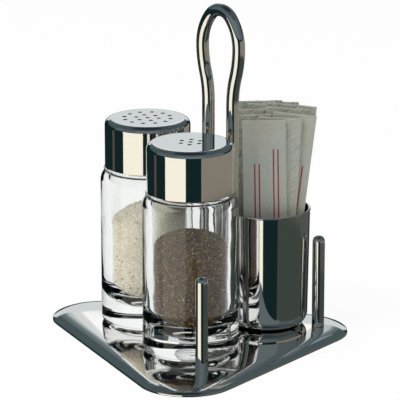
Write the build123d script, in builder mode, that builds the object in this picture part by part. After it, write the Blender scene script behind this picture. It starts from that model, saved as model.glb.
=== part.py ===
from build123d import *
from math import atan, atan2, cos, degrees, radians, sin, tan
import os

# A cruet stand: a pressed steel tray with a wire loop handle and corner posts.
# It carries two glass shakers with perforated screw caps, and a steel cup of
# paper wrapped toothpicks.
#
# Millimetres. The table is z = 0 and the origin is the middle of the tray.
# The handle's loop lies in a plane parallel to XZ, and -Y is the front.

# ---------------------------------------------------------------- stock
ROD_RADIUS = 2.5
TRAY_SHEET = 1.0
CAP_SHEET = 0.7
CUP_SHEET = 0.6
RUNNING_GAP = 0.3

# ---------------------------------------------------------------- tray
TRAY_CORNER_RADIUS = 19.6
SALT_CORNER = (-38.9, -4.4)
PEPPER_CORNER = (38.9, -37.0)
CUP_CORNER = (32.7, 37.0)
TRAY_CORNERS = (SALT_CORNER, PEPPER_CORNER, CUP_CORNER)
TRAY_HEIGHT = 3.0
TRAY_LIP = 0.8
TRAY_LIP_WIDTH = 1.0
SKIRT_WIDTH = 6.6
SKIRT_BEND = 3.0
SCREW_HOLE_RADIUS = 1.6

# ---------------------------------------------------------------- posts and handle
POST_HEIGHT = 38.0
FRONT_POST = (41.2, -31.4)
RIGHT_POST = (39.3, 41.0)
LEFT_POST = (-41.3, 4.8)
POSTS = {"front_post": FRONT_POST, "right_post": RIGHT_POST, "left_post": LEFT_POST}

HANDLE_PLACE = (14.9, 8.9)
LEG_SPACING = 12.7
LOOP_WIDTH = 18.9
LOOP_CROWN_RADIUS = 6.6
LEG_STRAIGHT = 95.0
LOOP_FLARE_RISE = 22.5
LOOP_SHOULDER_RISE = 7.8

# ---------------------------------------------------------------- screws
THREAD_HOLE_RADIUS = 1.5
THREAD_HOLE_DEPTH = 8.0
SCREW_RADIUS = 1.45
SCREW_LENGTH = 8.0
SCREW_HEAD_RADIUS = 3.0
SCREW_HEAD_HEIGHT = 1.4
SOCKET_RADIUS = 1.15
SOCKET_DEPTH = 0.8

# ---------------------------------------------------------------- glass jars
SALT_PLACE = (-18.3, 2.4)
PEPPER_PLACE = (20.3, -14.6)
JAR_RADIUS = 19.0
JAR_SHELF_HEIGHT = 64.5
JAR_FOOT_FILLET = 2.5
FOOT_RING_RADIUS = 13.5
PUNT_DEPTH = 1.0
SHOULDER_DROP = 5.5
GROOVE_RADIUS = 17.0
BEAD_RADIUS = 17.7
BEAD_HEIGHT = 1.6
NECK_RADIUS = 14.4
NECK_HEIGHT = 12.0
NECK_BORE_RADIUS = 12.3
NECK_EDGE = 0.4
CAVITY_FLOOR = 9.8
CAVITY_LOW_RADIUS = 12.8
CAVITY_HIGH_RADIUS = 14.6
CAVITY_HIGH_LEVEL = 54.0
CAVITY_NECK_LEVEL = 61.0
CAVITY_FLOOR_FILLET = 9.0
CAVITY_SHOULDER_FILLET = 3.0
THREAD_PITCH = 3.5
THREAD_TURNS = 2.5
THREAD_START = 1.6
THREAD_BEAD_RADIUS = 0.6

# ---------------------------------------------------------------- caps
CAP_RADIUS = 17.2
CAP_HEIGHT = 19.4
CAP_EDGE_FILLET = 2.7
CAP_TOP_SHEET = 0.8
CAP_HOLE_RADIUS = 0.9
SALT_RING_RADII = (4.6, 9.4)
SALT_RING_COUNTS = (6, 12)
SALT_RING_ANGLES = (30.0, 32.0)
PEPPER_RING_RADII = (4.1,)
PEPPER_RING_COUNTS = (6,)
PEPPER_RING_ANGLES = (7.0,)
LINER_RECESS = 1.0
LINER_TOP_CLEARANCE = 2.8
LINER_WEB = 1.2
SEAL_THICKNESS = 1.0
SEAL_GAP = 0.1

# ---------------------------------------------------------------- contents
FILL_GAP = 0.15
SALT_LEVEL = 46.8
SALT_TILT = 13.5
SALT_RISES_TOWARDS = 42.0
PEPPER_LEVEL = 48.8
PEPPER_DOME_RADIUS = 27.0

# ---------------------------------------------------------------- cup
CUP_PLACE = (20.5, 31.1)
CUP_HEIGHT = 48.0
CUP_RIM_RADIUS = 17.2
CUP_FOOT_RADIUS = 16.4
CUP_FOOT_FILLET = 5.0
CUP_BEAD_RADIUS = 0.5

# ---------------------------------------------------------------- toothpick sachets
SACHET_FACING = 42.0
SACHET_WIDTH = 17.4
SACHET_LENGTH = 85.0
SACHET_THICKNESS = 1.35
SACHET_SEAM = 0.4
SACHET_PITCH = 1.75
SACHET_FOOT_GAP = 0.8
# One value for each sachet, from the front of the cup to its back: the shift of
# its foot sideways, its lean in degrees, and how far its foot stands up.
SACHET_SHIFTS = (-0.2, 0.3, 0.8, -1.5, 1.2, -2.0, 2.0, -1.0, 0.5, -0.6, 0.2)
SACHET_LEAN_ANGLES = (-1.1, 3.0, 6.6, -2.0, 4.5, -3.2, 6.0, 1.0, 5.5, -1.5, 2.5)
SACHET_RISES = (0.0, 0.5, 1.5, 1.0, 3.0, 2.2, 3.4, 3.8, 2.6, 4.0, 3.2)

# ---------------------------------------------------------------- worked out
LEG_PLACES = (
    (HANDLE_PLACE[0] - LEG_SPACING / 2, HANDLE_PLACE[1]),
    (HANDLE_PLACE[0] + LEG_SPACING / 2, HANDLE_PLACE[1]),
)
CAP_BASE = JAR_SHELF_HEIGHT + RUNNING_GAP
CAP_INNER_RADIUS = CAP_RADIUS - CAP_SHEET
CAP_CEILING = CAP_BASE + CAP_HEIGHT - CAP_TOP_SHEET
NECK_TOP = JAR_SHELF_HEIGHT + NECK_HEIGHT
LINER_BORE_RADIUS = NECK_RADIUS + THREAD_BEAD_RADIUS + RUNNING_GAP
SEAL_BASE = NECK_TOP + SEAL_GAP
SEAL_TOP = SEAL_BASE + SEAL_THICKNESS
SALT_HOLE_RINGS = tuple(zip(SALT_RING_RADII, SALT_RING_COUNTS, SALT_RING_ANGLES))
PEPPER_HOLE_RINGS = tuple(zip(PEPPER_RING_RADII, PEPPER_RING_COUNTS, PEPPER_RING_ANGLES))
SACHET_STANCES = tuple(zip(SACHET_SHIFTS, SACHET_LEAN_ANGLES, SACHET_RISES))


def standing(place, height=TRAY_HEIGHT):
    """Plane parallel to XZ through a place: its x is +X and its y is up."""
    return Plane(origin=(place[0], place[1], height), x_dir=(1, 0, 0), z_dir=(0, -1, 0))


def level(place, height):
    """Horizontal plane with its origin above a place on the table."""
    return Plane(origin=(place[0], place[1], height))


def upright(place):
    """Vertical axis through a place."""
    return Axis((place[0], place[1], 0), (0, 0, 1))


def write(piece, name):
    """Label a finished piece and save it under its own name."""
    piece.part.label = name
    export_step(piece.part, f"parts/{name}.step")


# ---------------------------------------------------------------- tray

def tray_outline(height, inset):
    """The tray's rounded triangle at a height, smaller by an inset all round."""
    with BuildSketch(Plane.XY.offset(height)) as outline:
        with Locations(*TRAY_CORNERS):
            Circle(TRAY_CORNER_RADIUS - inset)
        make_hull()
    return outline.sketch


def make_tray():
    skirt_slope = (TRAY_HEIGHT - TRAY_LIP) / SKIRT_WIDTH
    floor_inset = SKIRT_WIDTH + TRAY_SHEET * tan(atan(skirt_slope) / 2)
    with BuildPart() as tray:
        extrude(tray_outline(0, 0), amount=TRAY_LIP)
        loft([tray_outline(TRAY_LIP, 0), tray_outline(TRAY_HEIGHT, SKIRT_WIDTH)])
        fillet(tray.faces().sort_by(Axis.Z)[-1].edges(), SKIRT_BEND)
        loft(
            [
                tray_outline(0, TRAY_LIP_WIDTH),
                tray_outline(TRAY_HEIGHT - TRAY_SHEET, floor_inset),
            ],
            mode=Mode.SUBTRACT,
        )
        with BuildSketch(Plane.XY.offset(TRAY_HEIGHT)):
            with Locations(*POSTS.values(), *LEG_PLACES):
                Circle(SCREW_HOLE_RADIUS)
        extrude(amount=-TRAY_HEIGHT, mode=Mode.SUBTRACT)
    return tray


# ---------------------------------------------------------------- posts, handle and screws

def make_post(place):
    """A rod with a round top, drilled from below for its screw."""
    with BuildPart() as post:
        with BuildSketch(standing(place)):
            with BuildLine():
                foot = Line((THREAD_HOLE_RADIUS, 0), (ROD_RADIUS, 0))
                side = Line(foot @ 1, (ROD_RADIUS, POST_HEIGHT - ROD_RADIUS))
                RadiusArc(side @ 1, (0, POST_HEIGHT), -ROD_RADIUS)
                hole_top = Line((0, POST_HEIGHT), (0, THREAD_HOLE_DEPTH))
                Line(hole_top @ 1, (THREAD_HOLE_RADIUS, THREAD_HOLE_DEPTH))
                Line((THREAD_HOLE_RADIUS, THREAD_HOLE_DEPTH), foot @ 0)
            make_face()
        revolve(axis=upright(place))
    return post


def make_handle():
    """One bent rod: two legs that flare out into a loop with a tight crown."""
    half_leg = LEG_SPACING / 2
    half_loop = LOOP_WIDTH / 2
    flare_turn = 2 * atan((half_loop - half_leg) / LOOP_FLARE_RISE)
    flare_radius = LOOP_FLARE_RISE / (2 * sin(flare_turn))
    shoulder_radius = (half_loop**2 + LOOP_SHOULDER_RISE**2 - LOOP_CROWN_RADIUS**2) / (
        2 * (half_loop - LOOP_CROWN_RADIUS)
    )
    shoulder_turn = degrees(atan2(LOOP_SHOULDER_RISE, shoulder_radius - half_loop))
    turns = (
        (flare_radius, degrees(flare_turn)),
        (flare_radius, -degrees(flare_turn)),
        (shoulder_radius, -shoulder_turn),
        (LOOP_CROWN_RADIUS, -2 * (90 - shoulder_turn)),
        (shoulder_radius, -shoulder_turn),
        (flare_radius, -degrees(flare_turn)),
        (flare_radius, degrees(flare_turn)),
    )
    with BuildPart() as handle:
        with BuildLine(standing(HANDLE_PLACE)) as route:
            run = Line((-half_leg, 0), (-half_leg, LEG_STRAIGHT))
            for radius, turn in turns:
                run = JernArc(run @ 1, run % 1, radius, turn)
            Line(run @ 1, (half_leg, 0))
        with BuildSketch(level(LEG_PLACES[0], TRAY_HEIGHT)):
            Circle(ROD_RADIUS)
        sweep(path=route.line)
        with BuildSketch(Plane.XY.offset(TRAY_HEIGHT)):
            with Locations(*LEG_PLACES):
                Circle(THREAD_HOLE_RADIUS)
        extrude(amount=THREAD_HOLE_DEPTH, mode=Mode.SUBTRACT)
    return handle


def make_screws(places):
    """Low headed socket screws that come up through the tray's sheet."""
    head_top = TRAY_HEIGHT - TRAY_SHEET
    head_base = head_top - SCREW_HEAD_HEIGHT
    with BuildPart() as screws:
        with BuildSketch(Plane.XY.offset(head_base)):
            with Locations(*places):
                Circle(SCREW_HEAD_RADIUS)
        extrude(amount=SCREW_HEAD_HEIGHT)
        with BuildSketch(Plane.XY.offset(head_top)):
            with Locations(*places):
                Circle(SCREW_RADIUS)
        extrude(amount=SCREW_LENGTH)
        with BuildSketch(Plane.XY.offset(head_base)):
            with Locations(*places):
                RegularPolygon(SOCKET_RADIUS, 6)
        extrude(amount=SOCKET_DEPTH, mode=Mode.SUBTRACT)
    return screws


# ---------------------------------------------------------------- jars and contents

def cavity_outline(place, gap):
    """Half section of the jar's inside, drawn smaller by a gap."""
    low = (CAVITY_LOW_RADIUS - gap, CAVITY_FLOOR + gap)
    high = (CAVITY_HIGH_RADIUS - gap, CAVITY_HIGH_LEVEL)
    neck = (NECK_BORE_RADIUS - gap, CAVITY_NECK_LEVEL)
    mouth = (NECK_BORE_RADIUS - gap, NECK_TOP)
    with BuildSketch(standing(place)) as outline:
        with BuildLine():
            Polyline((0, low[1]), low, high, neck, mouth, (0, NECK_TOP), (0, low[1]))
        make_face()
        floor_corner = outline.vertices().sort_by(Axis.Y)[:2].sort_by(Axis.X)[-1]
        fillet(floor_corner, CAVITY_FLOOR_FILLET - gap)
        shoulder = outline.vertices().filter_by_position(
            Axis.Y,
            CAVITY_HIGH_LEVEL - RUNNING_GAP,
            CAVITY_NECK_LEVEL + RUNNING_GAP,
        )
        fillet(shoulder, CAVITY_SHOULDER_FILLET)
    return outline.sketch


def make_jar(place):
    """Pressed glass jar with a thick base, a bead below its cap and a screw neck."""
    groove_level = JAR_SHELF_HEIGHT - BEAD_HEIGHT
    shoulder_level = JAR_SHELF_HEIGHT - SHOULDER_DROP
    foot_width = JAR_RADIUS - JAR_FOOT_FILLET
    with BuildPart() as jar:
        with BuildSketch(standing(place)):
            with BuildLine():
                punt = ThreePointArc(
                    (0, PUNT_DEPTH),
                    (FOOT_RING_RADIUS / 2, PUNT_DEPTH * 3 / 4),
                    (FOOT_RING_RADIUS, 0),
                )
                Line(punt @ 1, (foot_width, 0))
                RadiusArc((foot_width, 0), (JAR_RADIUS, JAR_FOOT_FILLET), -JAR_FOOT_FILLET)
                wall = Line((JAR_RADIUS, JAR_FOOT_FILLET), (JAR_RADIUS, shoulder_level))
                shoulder = TangentArc(wall @ 1, (GROOVE_RADIUS, groove_level), tangent=wall % 1)
                ThreePointArc(
                    shoulder @ 1,
                    (BEAD_RADIUS, JAR_SHELF_HEIGHT - BEAD_HEIGHT / 2),
                    (GROOVE_RADIUS, JAR_SHELF_HEIGHT),
                )
                Polyline(
                    (GROOVE_RADIUS, JAR_SHELF_HEIGHT),
                    (NECK_RADIUS, JAR_SHELF_HEIGHT),
                    (NECK_RADIUS, NECK_TOP - NECK_EDGE),
                    (NECK_RADIUS - NECK_EDGE, NECK_TOP),
                    (0, NECK_TOP),
                    (0, PUNT_DEPTH),
                )
            make_face()
        revolve(axis=upright(place))
        with BuildLine() as thread:
            Helix(
                pitch=THREAD_PITCH,
                height=THREAD_PITCH * THREAD_TURNS,
                radius=NECK_RADIUS,
                center=(place[0], place[1], TRAY_HEIGHT + JAR_SHELF_HEIGHT + THREAD_START),
            )
        with BuildSketch(Plane(origin=thread.line @ 0, z_dir=thread.line % 0)):
            Circle(THREAD_BEAD_RADIUS)
        sweep(path=thread.line, is_frenet=True)
        add(cavity_outline(place, 0))
        revolve(axis=upright(place), mode=Mode.SUBTRACT)
    return jar


def make_salt_fill():
    """Salt that lies higher on one side, as a tilted jar leaves it."""
    uphill = radians(SALT_RISES_TOWARDS)
    lean = radians(SALT_TILT)
    surface = Plane(
        origin=(SALT_PLACE[0], SALT_PLACE[1], TRAY_HEIGHT + SALT_LEVEL),
        z_dir=(-sin(lean) * cos(uphill), -sin(lean) * sin(uphill), cos(lean)),
    )
    with BuildPart() as fill:
        add(cavity_outline(SALT_PLACE, FILL_GAP))
        revolve(axis=upright(SALT_PLACE))
        split(bisect_by=surface, keep=Keep.BOTTOM)
    return fill


def make_pepper_fill():
    """Pepper heaped into a low dome."""
    with BuildPart() as fill:
        add(cavity_outline(PEPPER_PLACE, FILL_GAP))
        revolve(axis=upright(PEPPER_PLACE))
        split(
            bisect_by=level(PEPPER_PLACE, TRAY_HEIGHT + PEPPER_LEVEL),
            keep=Keep.BOTTOM,
        )
        with Locations((*PEPPER_PLACE, TRAY_HEIGHT + PEPPER_LEVEL - PEPPER_DOME_RADIUS)):
            Sphere(PEPPER_DOME_RADIUS, mode=Mode.INTERSECT)
    return fill


# ---------------------------------------------------------------- caps

def make_cap(place, hole_rings):
    """Drawn steel cap with a rounded edge, punched with rings of round holes."""
    inner_fillet = CAP_EDGE_FILLET - CAP_SHEET
    with BuildPart() as cap:
        with BuildSketch(level(place, TRAY_HEIGHT + CAP_BASE)):
            Circle(CAP_RADIUS)
        extrude(amount=CAP_HEIGHT)
        fillet(cap.faces().sort_by(Axis.Z)[-1].edges(), CAP_EDGE_FILLET)
        with BuildPart(mode=Mode.SUBTRACT) as hollow:
            with BuildSketch(level(place, TRAY_HEIGHT + CAP_BASE)):
                Circle(CAP_INNER_RADIUS)
            extrude(amount=CAP_HEIGHT - CAP_TOP_SHEET)
            fillet(hollow.faces().sort_by(Axis.Z)[-1].edges(), inner_fillet)
        with BuildSketch(level(place, TRAY_HEIGHT + CAP_BASE + CAP_HEIGHT)):
            Circle(CAP_HOLE_RADIUS)
            for radius, count, start in hole_rings:
                with PolarLocations(radius, count, start_angle=start):
                    Circle(CAP_HOLE_RADIUS)
        extrude(amount=-2 * CAP_TOP_SHEET, mode=Mode.SUBTRACT)
    return cap


def make_liner(place):
    """Moulded sleeve in the cap, with a web that bears down on the seal."""
    base = CAP_BASE + LINER_RECESS
    top = CAP_CEILING - LINER_TOP_CLEARANCE
    web_top = SEAL_TOP + LINER_WEB
    with BuildPart() as liner:
        with BuildSketch(standing(place)):
            with BuildLine():
                Polyline(
                    (LINER_BORE_RADIUS, base),
                    (CAP_INNER_RADIUS, base),
                    (CAP_INNER_RADIUS, top),
                    (LINER_BORE_RADIUS, top),
                    (LINER_BORE_RADIUS, web_top),
                    (NECK_BORE_RADIUS, web_top),
                    (NECK_BORE_RADIUS, SEAL_TOP),
                    (LINER_BORE_RADIUS, SEAL_TOP),
                    close=True,
                )
            make_face()
        revolve(axis=upright(place))
    return liner


def make_seal(place):
    """Soft flat ring between the liner's web and the glass rim."""
    with BuildPart() as seal:
        with BuildSketch(level(place, TRAY_HEIGHT + SEAL_BASE)):
            Circle(LINER_BORE_RADIUS - SEAL_GAP)
            Circle(NECK_BORE_RADIUS, mode=Mode.SUBTRACT)
        extrude(amount=SEAL_THICKNESS)
    return seal


# ---------------------------------------------------------------- cup and sachets

def make_cup():
    """Drawn cup with a round foot corner, a slight taper and a beaded rim."""
    with BuildPart() as cup:
        with BuildSketch(standing(CUP_PLACE)) as section:
            with BuildLine():
                Polyline(
                    (0, 0),
                    (CUP_FOOT_RADIUS, 0),
                    (CUP_RIM_RADIUS, CUP_HEIGHT),
                    (0, CUP_HEIGHT),
                    close=True,
                )
            make_face()
            foot = section.vertices().sort_by(Axis.Y)[:2].sort_by(Axis.X)[-1]
            fillet(foot, CUP_FOOT_FILLET)
        revolve(axis=upright(CUP_PLACE))
        offset(amount=-CUP_SHEET, openings=cup.faces().sort_by(Axis.Z)[-1])
        with BuildSketch(standing(CUP_PLACE)):
            with Locations((CUP_RIM_RADIUS - CUP_SHEET / 2, CUP_HEIGHT)):
                Circle(CUP_BEAD_RADIUS)
        revolve(axis=upright(CUP_PLACE))
    return cup


def sachet_plane(depth, shift, lean, rise):
    """Plane across a sachet's foot: x is its width, y its thickness, z its length."""
    facing = radians(SACHET_FACING)
    lean = radians(lean)
    across = Vector(cos(facing), sin(facing), 0)
    back = Vector(-sin(facing), cos(facing), 0)
    up = Vector(0, 0, 1)
    floor = Vector(*CUP_PLACE, TRAY_HEIGHT + CUP_SHEET + SACHET_FOOT_GAP)
    half_drop = SACHET_WIDTH / 2 * abs(sin(lean))
    return Plane(
        origin=floor + back * depth + across * shift + up * (rise + half_drop),
        x_dir=across * cos(lean) - up * sin(lean),
        z_dir=across * sin(lean) + up * cos(lean),
    )


def make_sachet(plane):
    """Flat paper sachet: thin at its long seams and fuller along its middle."""
    half_width = SACHET_WIDTH / 2
    half_seam = SACHET_SEAM / 2
    half_middle = SACHET_THICKNESS / 2
    with BuildPart() as sachet:
        with BuildSketch(plane):
            with BuildLine():
                front = ThreePointArc((-half_width, -half_seam), (0, -half_middle), (half_width, -half_seam))
                back = ThreePointArc((half_width, half_seam), (0, half_middle), (-half_width, half_seam))
                Line(front @ 1, back @ 0)
                Line(back @ 1, front @ 0)
            make_face()
        extrude(amount=SACHET_LENGTH)
    return sachet


# ---------------------------------------------------------------- the whole stand

os.makedirs("parts", exist_ok=True)

write(make_tray(), "tray")
write(make_handle(), "handle_loop")
for post_name, post_place in POSTS.items():
    write(make_post(post_place), post_name)
write(make_screws(POSTS.values()), "post_screws")
write(make_screws(LEG_PLACES), "handle_screws")

write(make_jar(SALT_PLACE), "salt_jar")
write(make_salt_fill(), "salt_fill")
write(make_cap(SALT_PLACE, SALT_HOLE_RINGS), "salt_cap")
write(make_liner(SALT_PLACE), "salt_cap_liner")
write(make_seal(SALT_PLACE), "salt_cap_seal")

write(make_jar(PEPPER_PLACE), "pepper_jar")
write(make_pepper_fill(), "pepper_fill")
write(make_cap(PEPPER_PLACE, PEPPER_HOLE_RINGS), "pepper_cap")
write(make_liner(PEPPER_PLACE), "pepper_cap_liner")
write(make_seal(PEPPER_PLACE), "pepper_cap_seal")

write(make_cup(), "cup")
middle_sachet = (len(SACHET_STANCES) - 1) / 2
for number, (foot_shift, foot_lean, foot_rise) in enumerate(SACHET_STANCES):
    layer = (number - middle_sachet) * SACHET_PITCH
    stance = sachet_plane(layer, foot_shift, foot_lean, foot_rise)
    write(make_sachet(stance), f"toothpick_sachet_{number + 1:02d}")
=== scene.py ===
# %% [markdown]
# # A cruet stand in polished steel and glass
#
# The object is a small table stand: a pressed steel tray on which a salt shaker,
# a pepper shaker and a steel cup of wrapped toothpicks stand round a wire handle.
# Nearly everything on it is mirror bright steel or clear glass, so most of its
# look is what it reflects. The lesson therefore spends as much care on the
# studio round the object as on the object itself.
#
# The rigid pieces come from the engineering model as a fixed frame. This file
# gives them their finishes, and adds the pieces that a solid model can't show
# well: loose grains, thin paper and the fine lines of polished metal.

# %% Load the frame
import math
import random

import bmesh
import bpy
from mathutils import Euler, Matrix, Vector, noise


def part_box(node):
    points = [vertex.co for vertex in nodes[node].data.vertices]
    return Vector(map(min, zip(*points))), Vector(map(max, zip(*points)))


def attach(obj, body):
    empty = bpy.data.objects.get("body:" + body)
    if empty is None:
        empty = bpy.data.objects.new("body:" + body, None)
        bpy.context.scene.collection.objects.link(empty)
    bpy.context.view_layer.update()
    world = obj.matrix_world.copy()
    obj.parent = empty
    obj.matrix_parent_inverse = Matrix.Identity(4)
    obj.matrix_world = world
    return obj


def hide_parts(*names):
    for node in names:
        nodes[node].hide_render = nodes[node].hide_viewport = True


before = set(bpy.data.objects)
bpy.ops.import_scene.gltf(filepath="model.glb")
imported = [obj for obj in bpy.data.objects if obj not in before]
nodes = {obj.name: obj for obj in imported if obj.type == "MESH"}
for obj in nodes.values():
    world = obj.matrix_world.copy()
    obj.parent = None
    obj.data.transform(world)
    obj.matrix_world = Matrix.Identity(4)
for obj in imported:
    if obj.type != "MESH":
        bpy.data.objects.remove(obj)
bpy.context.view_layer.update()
MM = 0.001

# %% [markdown]
# ## The camera
#
# The photograph looks down at the stand by about sixteen degrees, from a little
# over a metre away, and the handle's loop is turned 42 degrees from the picture.
# The camera is placed by those angles and not by typed coordinates, because the
# same two angles place the studio's cards further down.

# %% Camera
CAMERA_AZIMUTH = 42.0
CAMERA_ELEVATION = 15.86
CAMERA_DISTANCE = 1121.4 * MM
CAMERA_TARGET = Vector((12.3, -0.22, 59.32)) * MM
CAMERA_LENS = 255.58


def direction(azimuth, elevation):
    """Unit vector from the object, by its angle round from the front and its height."""
    turn = math.radians(azimuth)
    rise = math.radians(elevation)
    return Vector(
        (math.sin(turn) * math.cos(rise), -math.cos(turn) * math.cos(rise), math.sin(rise))
    )


camera_data = bpy.data.cameras.new("photo_camera")
camera_data.sensor_width = 36.0
camera_data.lens = CAMERA_LENS
camera = bpy.data.objects.new("photo_camera", camera_data)
camera_back = direction(CAMERA_AZIMUTH, CAMERA_ELEVATION)
camera.location = CAMERA_TARGET + camera_back * CAMERA_DISTANCE
camera.rotation_euler = (-camera_back).to_track_quat("-Z", "Y").to_euler()
bpy.context.collection.objects.link(camera)
bpy.context.scene.camera = camera
bpy.context.scene.view_settings.view_transform = "Standard"
print("camera at", [round(value, 3) for value in camera.location])

# %% [markdown]
# ## Helpers for every material
#
# Colours are written as sRGB hex values, as a paint chart gives them. Shaders
# work in linear light, so one function converts them. A second one adds a node
# with its settings and its links in one call, which keeps each recipe short. The
# others start a material from the values that are the same all over it, put a
# mesh in the scene, and give a piece of the frame its finish.

# %% Colour and node helpers


def linear(hex_colour):
    """An sRGB hex colour such as "#C8C8C4" as linear red, green, blue and alpha."""
    channels = [int(hex_colour[start:start + 2], 16) / 255 for start in (1, 3, 5)]
    return [
        value / 12.92 if value <= 0.04045 else ((value + 0.055) / 1.055) ** 2.4
        for value in channels
    ] + [1.0]


def feed(node, inputs):
    """Set or link a node's inputs by name or number."""
    for name, value in inputs.items():
        if isinstance(value, bpy.types.NodeSocket):
            node.id_data.links.new(value, node.inputs[name])
        else:
            node.inputs[name].default_value = value


def add_node(tree, kind, inputs=None, **settings):
    """Add a node, set its properties, and set or link its inputs."""
    node = tree.nodes.new(kind)
    for name, value in settings.items():
        setattr(node, name, value)
    feed(node, inputs or {})
    return node


def new_material(name, values):
    """A material, its node tree and its Principled shader with the given socket values."""
    material = bpy.data.materials.new(name)
    material.use_nodes = True
    shader = material.node_tree.nodes["Principled BSDF"]
    feed(shader, values)
    return material, material.node_tree, shader


def add_object(name, mesh, *materials):
    """Put a mesh in the scene as an object with these materials."""
    for material in materials:
        mesh.materials.append(material)
    thing = bpy.data.objects.new(name, mesh)
    bpy.context.collection.objects.link(thing)
    return thing


def smooth_step(low, high, value):
    """0 below low, 1 above high, and an even S between them."""
    share = min(1.0, max(0.0, (value - low) / (high - low)))
    return share * share * (3 - 2 * share)


def dress(node_name, material):
    """Give a node of the frame a finish in all its material slots."""
    piece = nodes[node_name]
    if not piece.material_slots:
        piece.data.materials.append(material)
    for material_slot in piece.material_slots:
        material_slot.material = material


# %% [markdown]
# ## The room: floor and world
#
# The background is white because the floor is white to the camera, not because
# of strong lamps. Light Path tells a shader what kind of ray is asking: the
# camera and the rays through glass see a bright floor, and a little of the
# floor's real shading is left in, so that the stand keeps a soft shadow.

# %% Floor and world
FLOOR_HALF = 4.0
FLOOR_GLOW = 0.92


def any_ray(tree, *kinds):
    """1 for rays of the named kinds, 0 for all others."""
    path = add_node(tree, "ShaderNodeLightPath")
    answer = path.outputs[kinds[0]]
    for kind in kinds[1:]:
        sum_node = add_node(
            tree, "ShaderNodeMath", {0: answer, 1: path.outputs[kind]}, operation="MAXIMUM"
        )
        answer = sum_node.outputs[0]
    return answer


def asks_for_light(tree):
    """1 for rays that have left a matt surface, 0 for rays that look at the room."""
    path = add_node(tree, "ShaderNodeLightPath")
    return add_node(
        tree, "ShaderNodeMath", {0: path.outputs["Diffuse Depth"], 1: 0.5}, operation="GREATER_THAN"
    ).outputs[0]


def make_floor():
    material, tree, shader = new_material(
        "white_paper_floor",
        {"Base Color": linear("#E8E8E6"), "Roughness": 0.9, "Specular IOR Level": 0.0},
    )
    glow = add_node(tree, "ShaderNodeEmission", {"Color": linear("#FFFFFF"), "Strength": 1.0})
    seen = any_ray(tree, "Is Camera Ray", "Is Glossy Ray", "Is Transmission Ray")
    share = add_node(tree, "ShaderNodeMath", {0: seen, 1: FLOOR_GLOW}, operation="MULTIPLY")
    both = add_node(
        tree, "ShaderNodeMixShader", {0: share.outputs[0], 1: shader.outputs[0], 2: glow.outputs[0]}
    )
    feed(tree.nodes["Material Output"], {"Surface": both.outputs[0]})
    mesh = bpy.data.meshes.new("floor")
    corners = [(-1, -1), (1, -1), (1, 1), (-1, 1)]
    mesh.from_pydata([(x * FLOOR_HALF, y * FLOOR_HALF, 0) for x, y in corners], [], [(0, 1, 2, 3)])
    floor = add_object("floor", mesh, material)
    floor.visible_glossy = False


def make_world():
    world = bpy.data.worlds.new("studio_room")
    world.use_nodes = True
    tree = world.node_tree
    plain = tree.nodes["Background"]
    plain.inputs["Color"].default_value = linear("#F4F6F8")
    plain.inputs["Strength"].default_value = 0.8
    level = add_node(
        tree, "ShaderNodeMapRange", {"Value": asks_for_light(tree), "To Min": 1.0, "To Max": 1.3}
    )
    white = add_node(
        tree, "ShaderNodeBackground", {"Color": linear("#FFFFFF"), "Strength": level.outputs[0]}
    )
    dark = add_node(tree, "ShaderNodeBackground", {"Color": linear("#14282A"), "Strength": 1.0})
    shiny = any_ray(tree, "Is Glossy Ray")
    clear = any_ray(tree, "Is Camera Ray", "Is Transmission Ray")
    first = add_node(
        tree, "ShaderNodeMixShader", {0: shiny, 1: plain.outputs[0], 2: dark.outputs[0]}
    )
    second = add_node(
        tree, "ShaderNodeMixShader", {0: clear, 1: first.outputs[0], 2: white.outputs[0]}
    )
    feed(tree.nodes["World Output"], {"Surface": second.outputs[0]})
    bpy.context.scene.world = world


make_floor()
make_world()

# %% [markdown]
# ## Cards and softboxes
#
# A mirror has no look of its own. Product photographers surround polished metal
# with dark flags and a few bright panels, so that each round wall shows clean
# upright bands. Here each card is a curved patch of a large sphere, given by how
# far it lies to the left or right of the camera and how high it reaches. One
# set is seen by mirror rays only. The other is seen through the glass only, and
# some of it also lights what stands inside the jars.

# %% Cards
CARD_DISTANCE = 2.6
CARD_STEP = 5.0


def make_card(name, sides, heights, colour, strength, through_glass):
    """A curved card. sides and heights are (from, to) in degrees off the camera's side."""
    columns = max(1, round((sides[1] - sides[0]) / CARD_STEP))
    rows = max(1, round((heights[1] - heights[0]) / CARD_STEP))
    points = []
    for row in range(rows + 1):
        height = heights[0] + (heights[1] - heights[0]) * row / rows
        for column in range(columns + 1):
            side = sides[0] + (sides[1] - sides[0]) * column / columns
            points.append(direction(CAMERA_AZIMUTH + side, height) * CARD_DISTANCE)
    faces = []
    for row in range(rows):
        for column in range(columns):
            corner = row * (columns + 1) + column
            faces.append((corner, corner + 1, corner + columns + 2, corner + columns + 1))
    mesh = bpy.data.meshes.new(name)
    mesh.from_pydata(points, [], faces)
    material, tree, shader = new_material(
        name,
        {"Base Color": linear("#000000"), "Specular IOR Level": 0.0,
         "Emission Color": linear(colour), "Emission Strength": strength},
    )
    if not through_glass:
        gone = add_node(tree, "ShaderNodeBsdfTransparent")
        refracted = any_ray(tree, "Is Transmission Ray")
        both = add_node(
            tree, "ShaderNodeMixShader", {0: refracted, 1: shader.outputs[0], 2: gone.outputs[0]}
        )
        feed(tree.nodes["Material Output"], {"Surface": both.outputs[0]})
    card = add_object(name, mesh, material)
    card.visible_camera = False
    card.visible_diffuse = False
    card.visible_shadow = False
    card.visible_volume_scatter = False
    card.visible_glossy = not through_glass
    card.visible_transmission = through_glass
    return card


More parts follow.
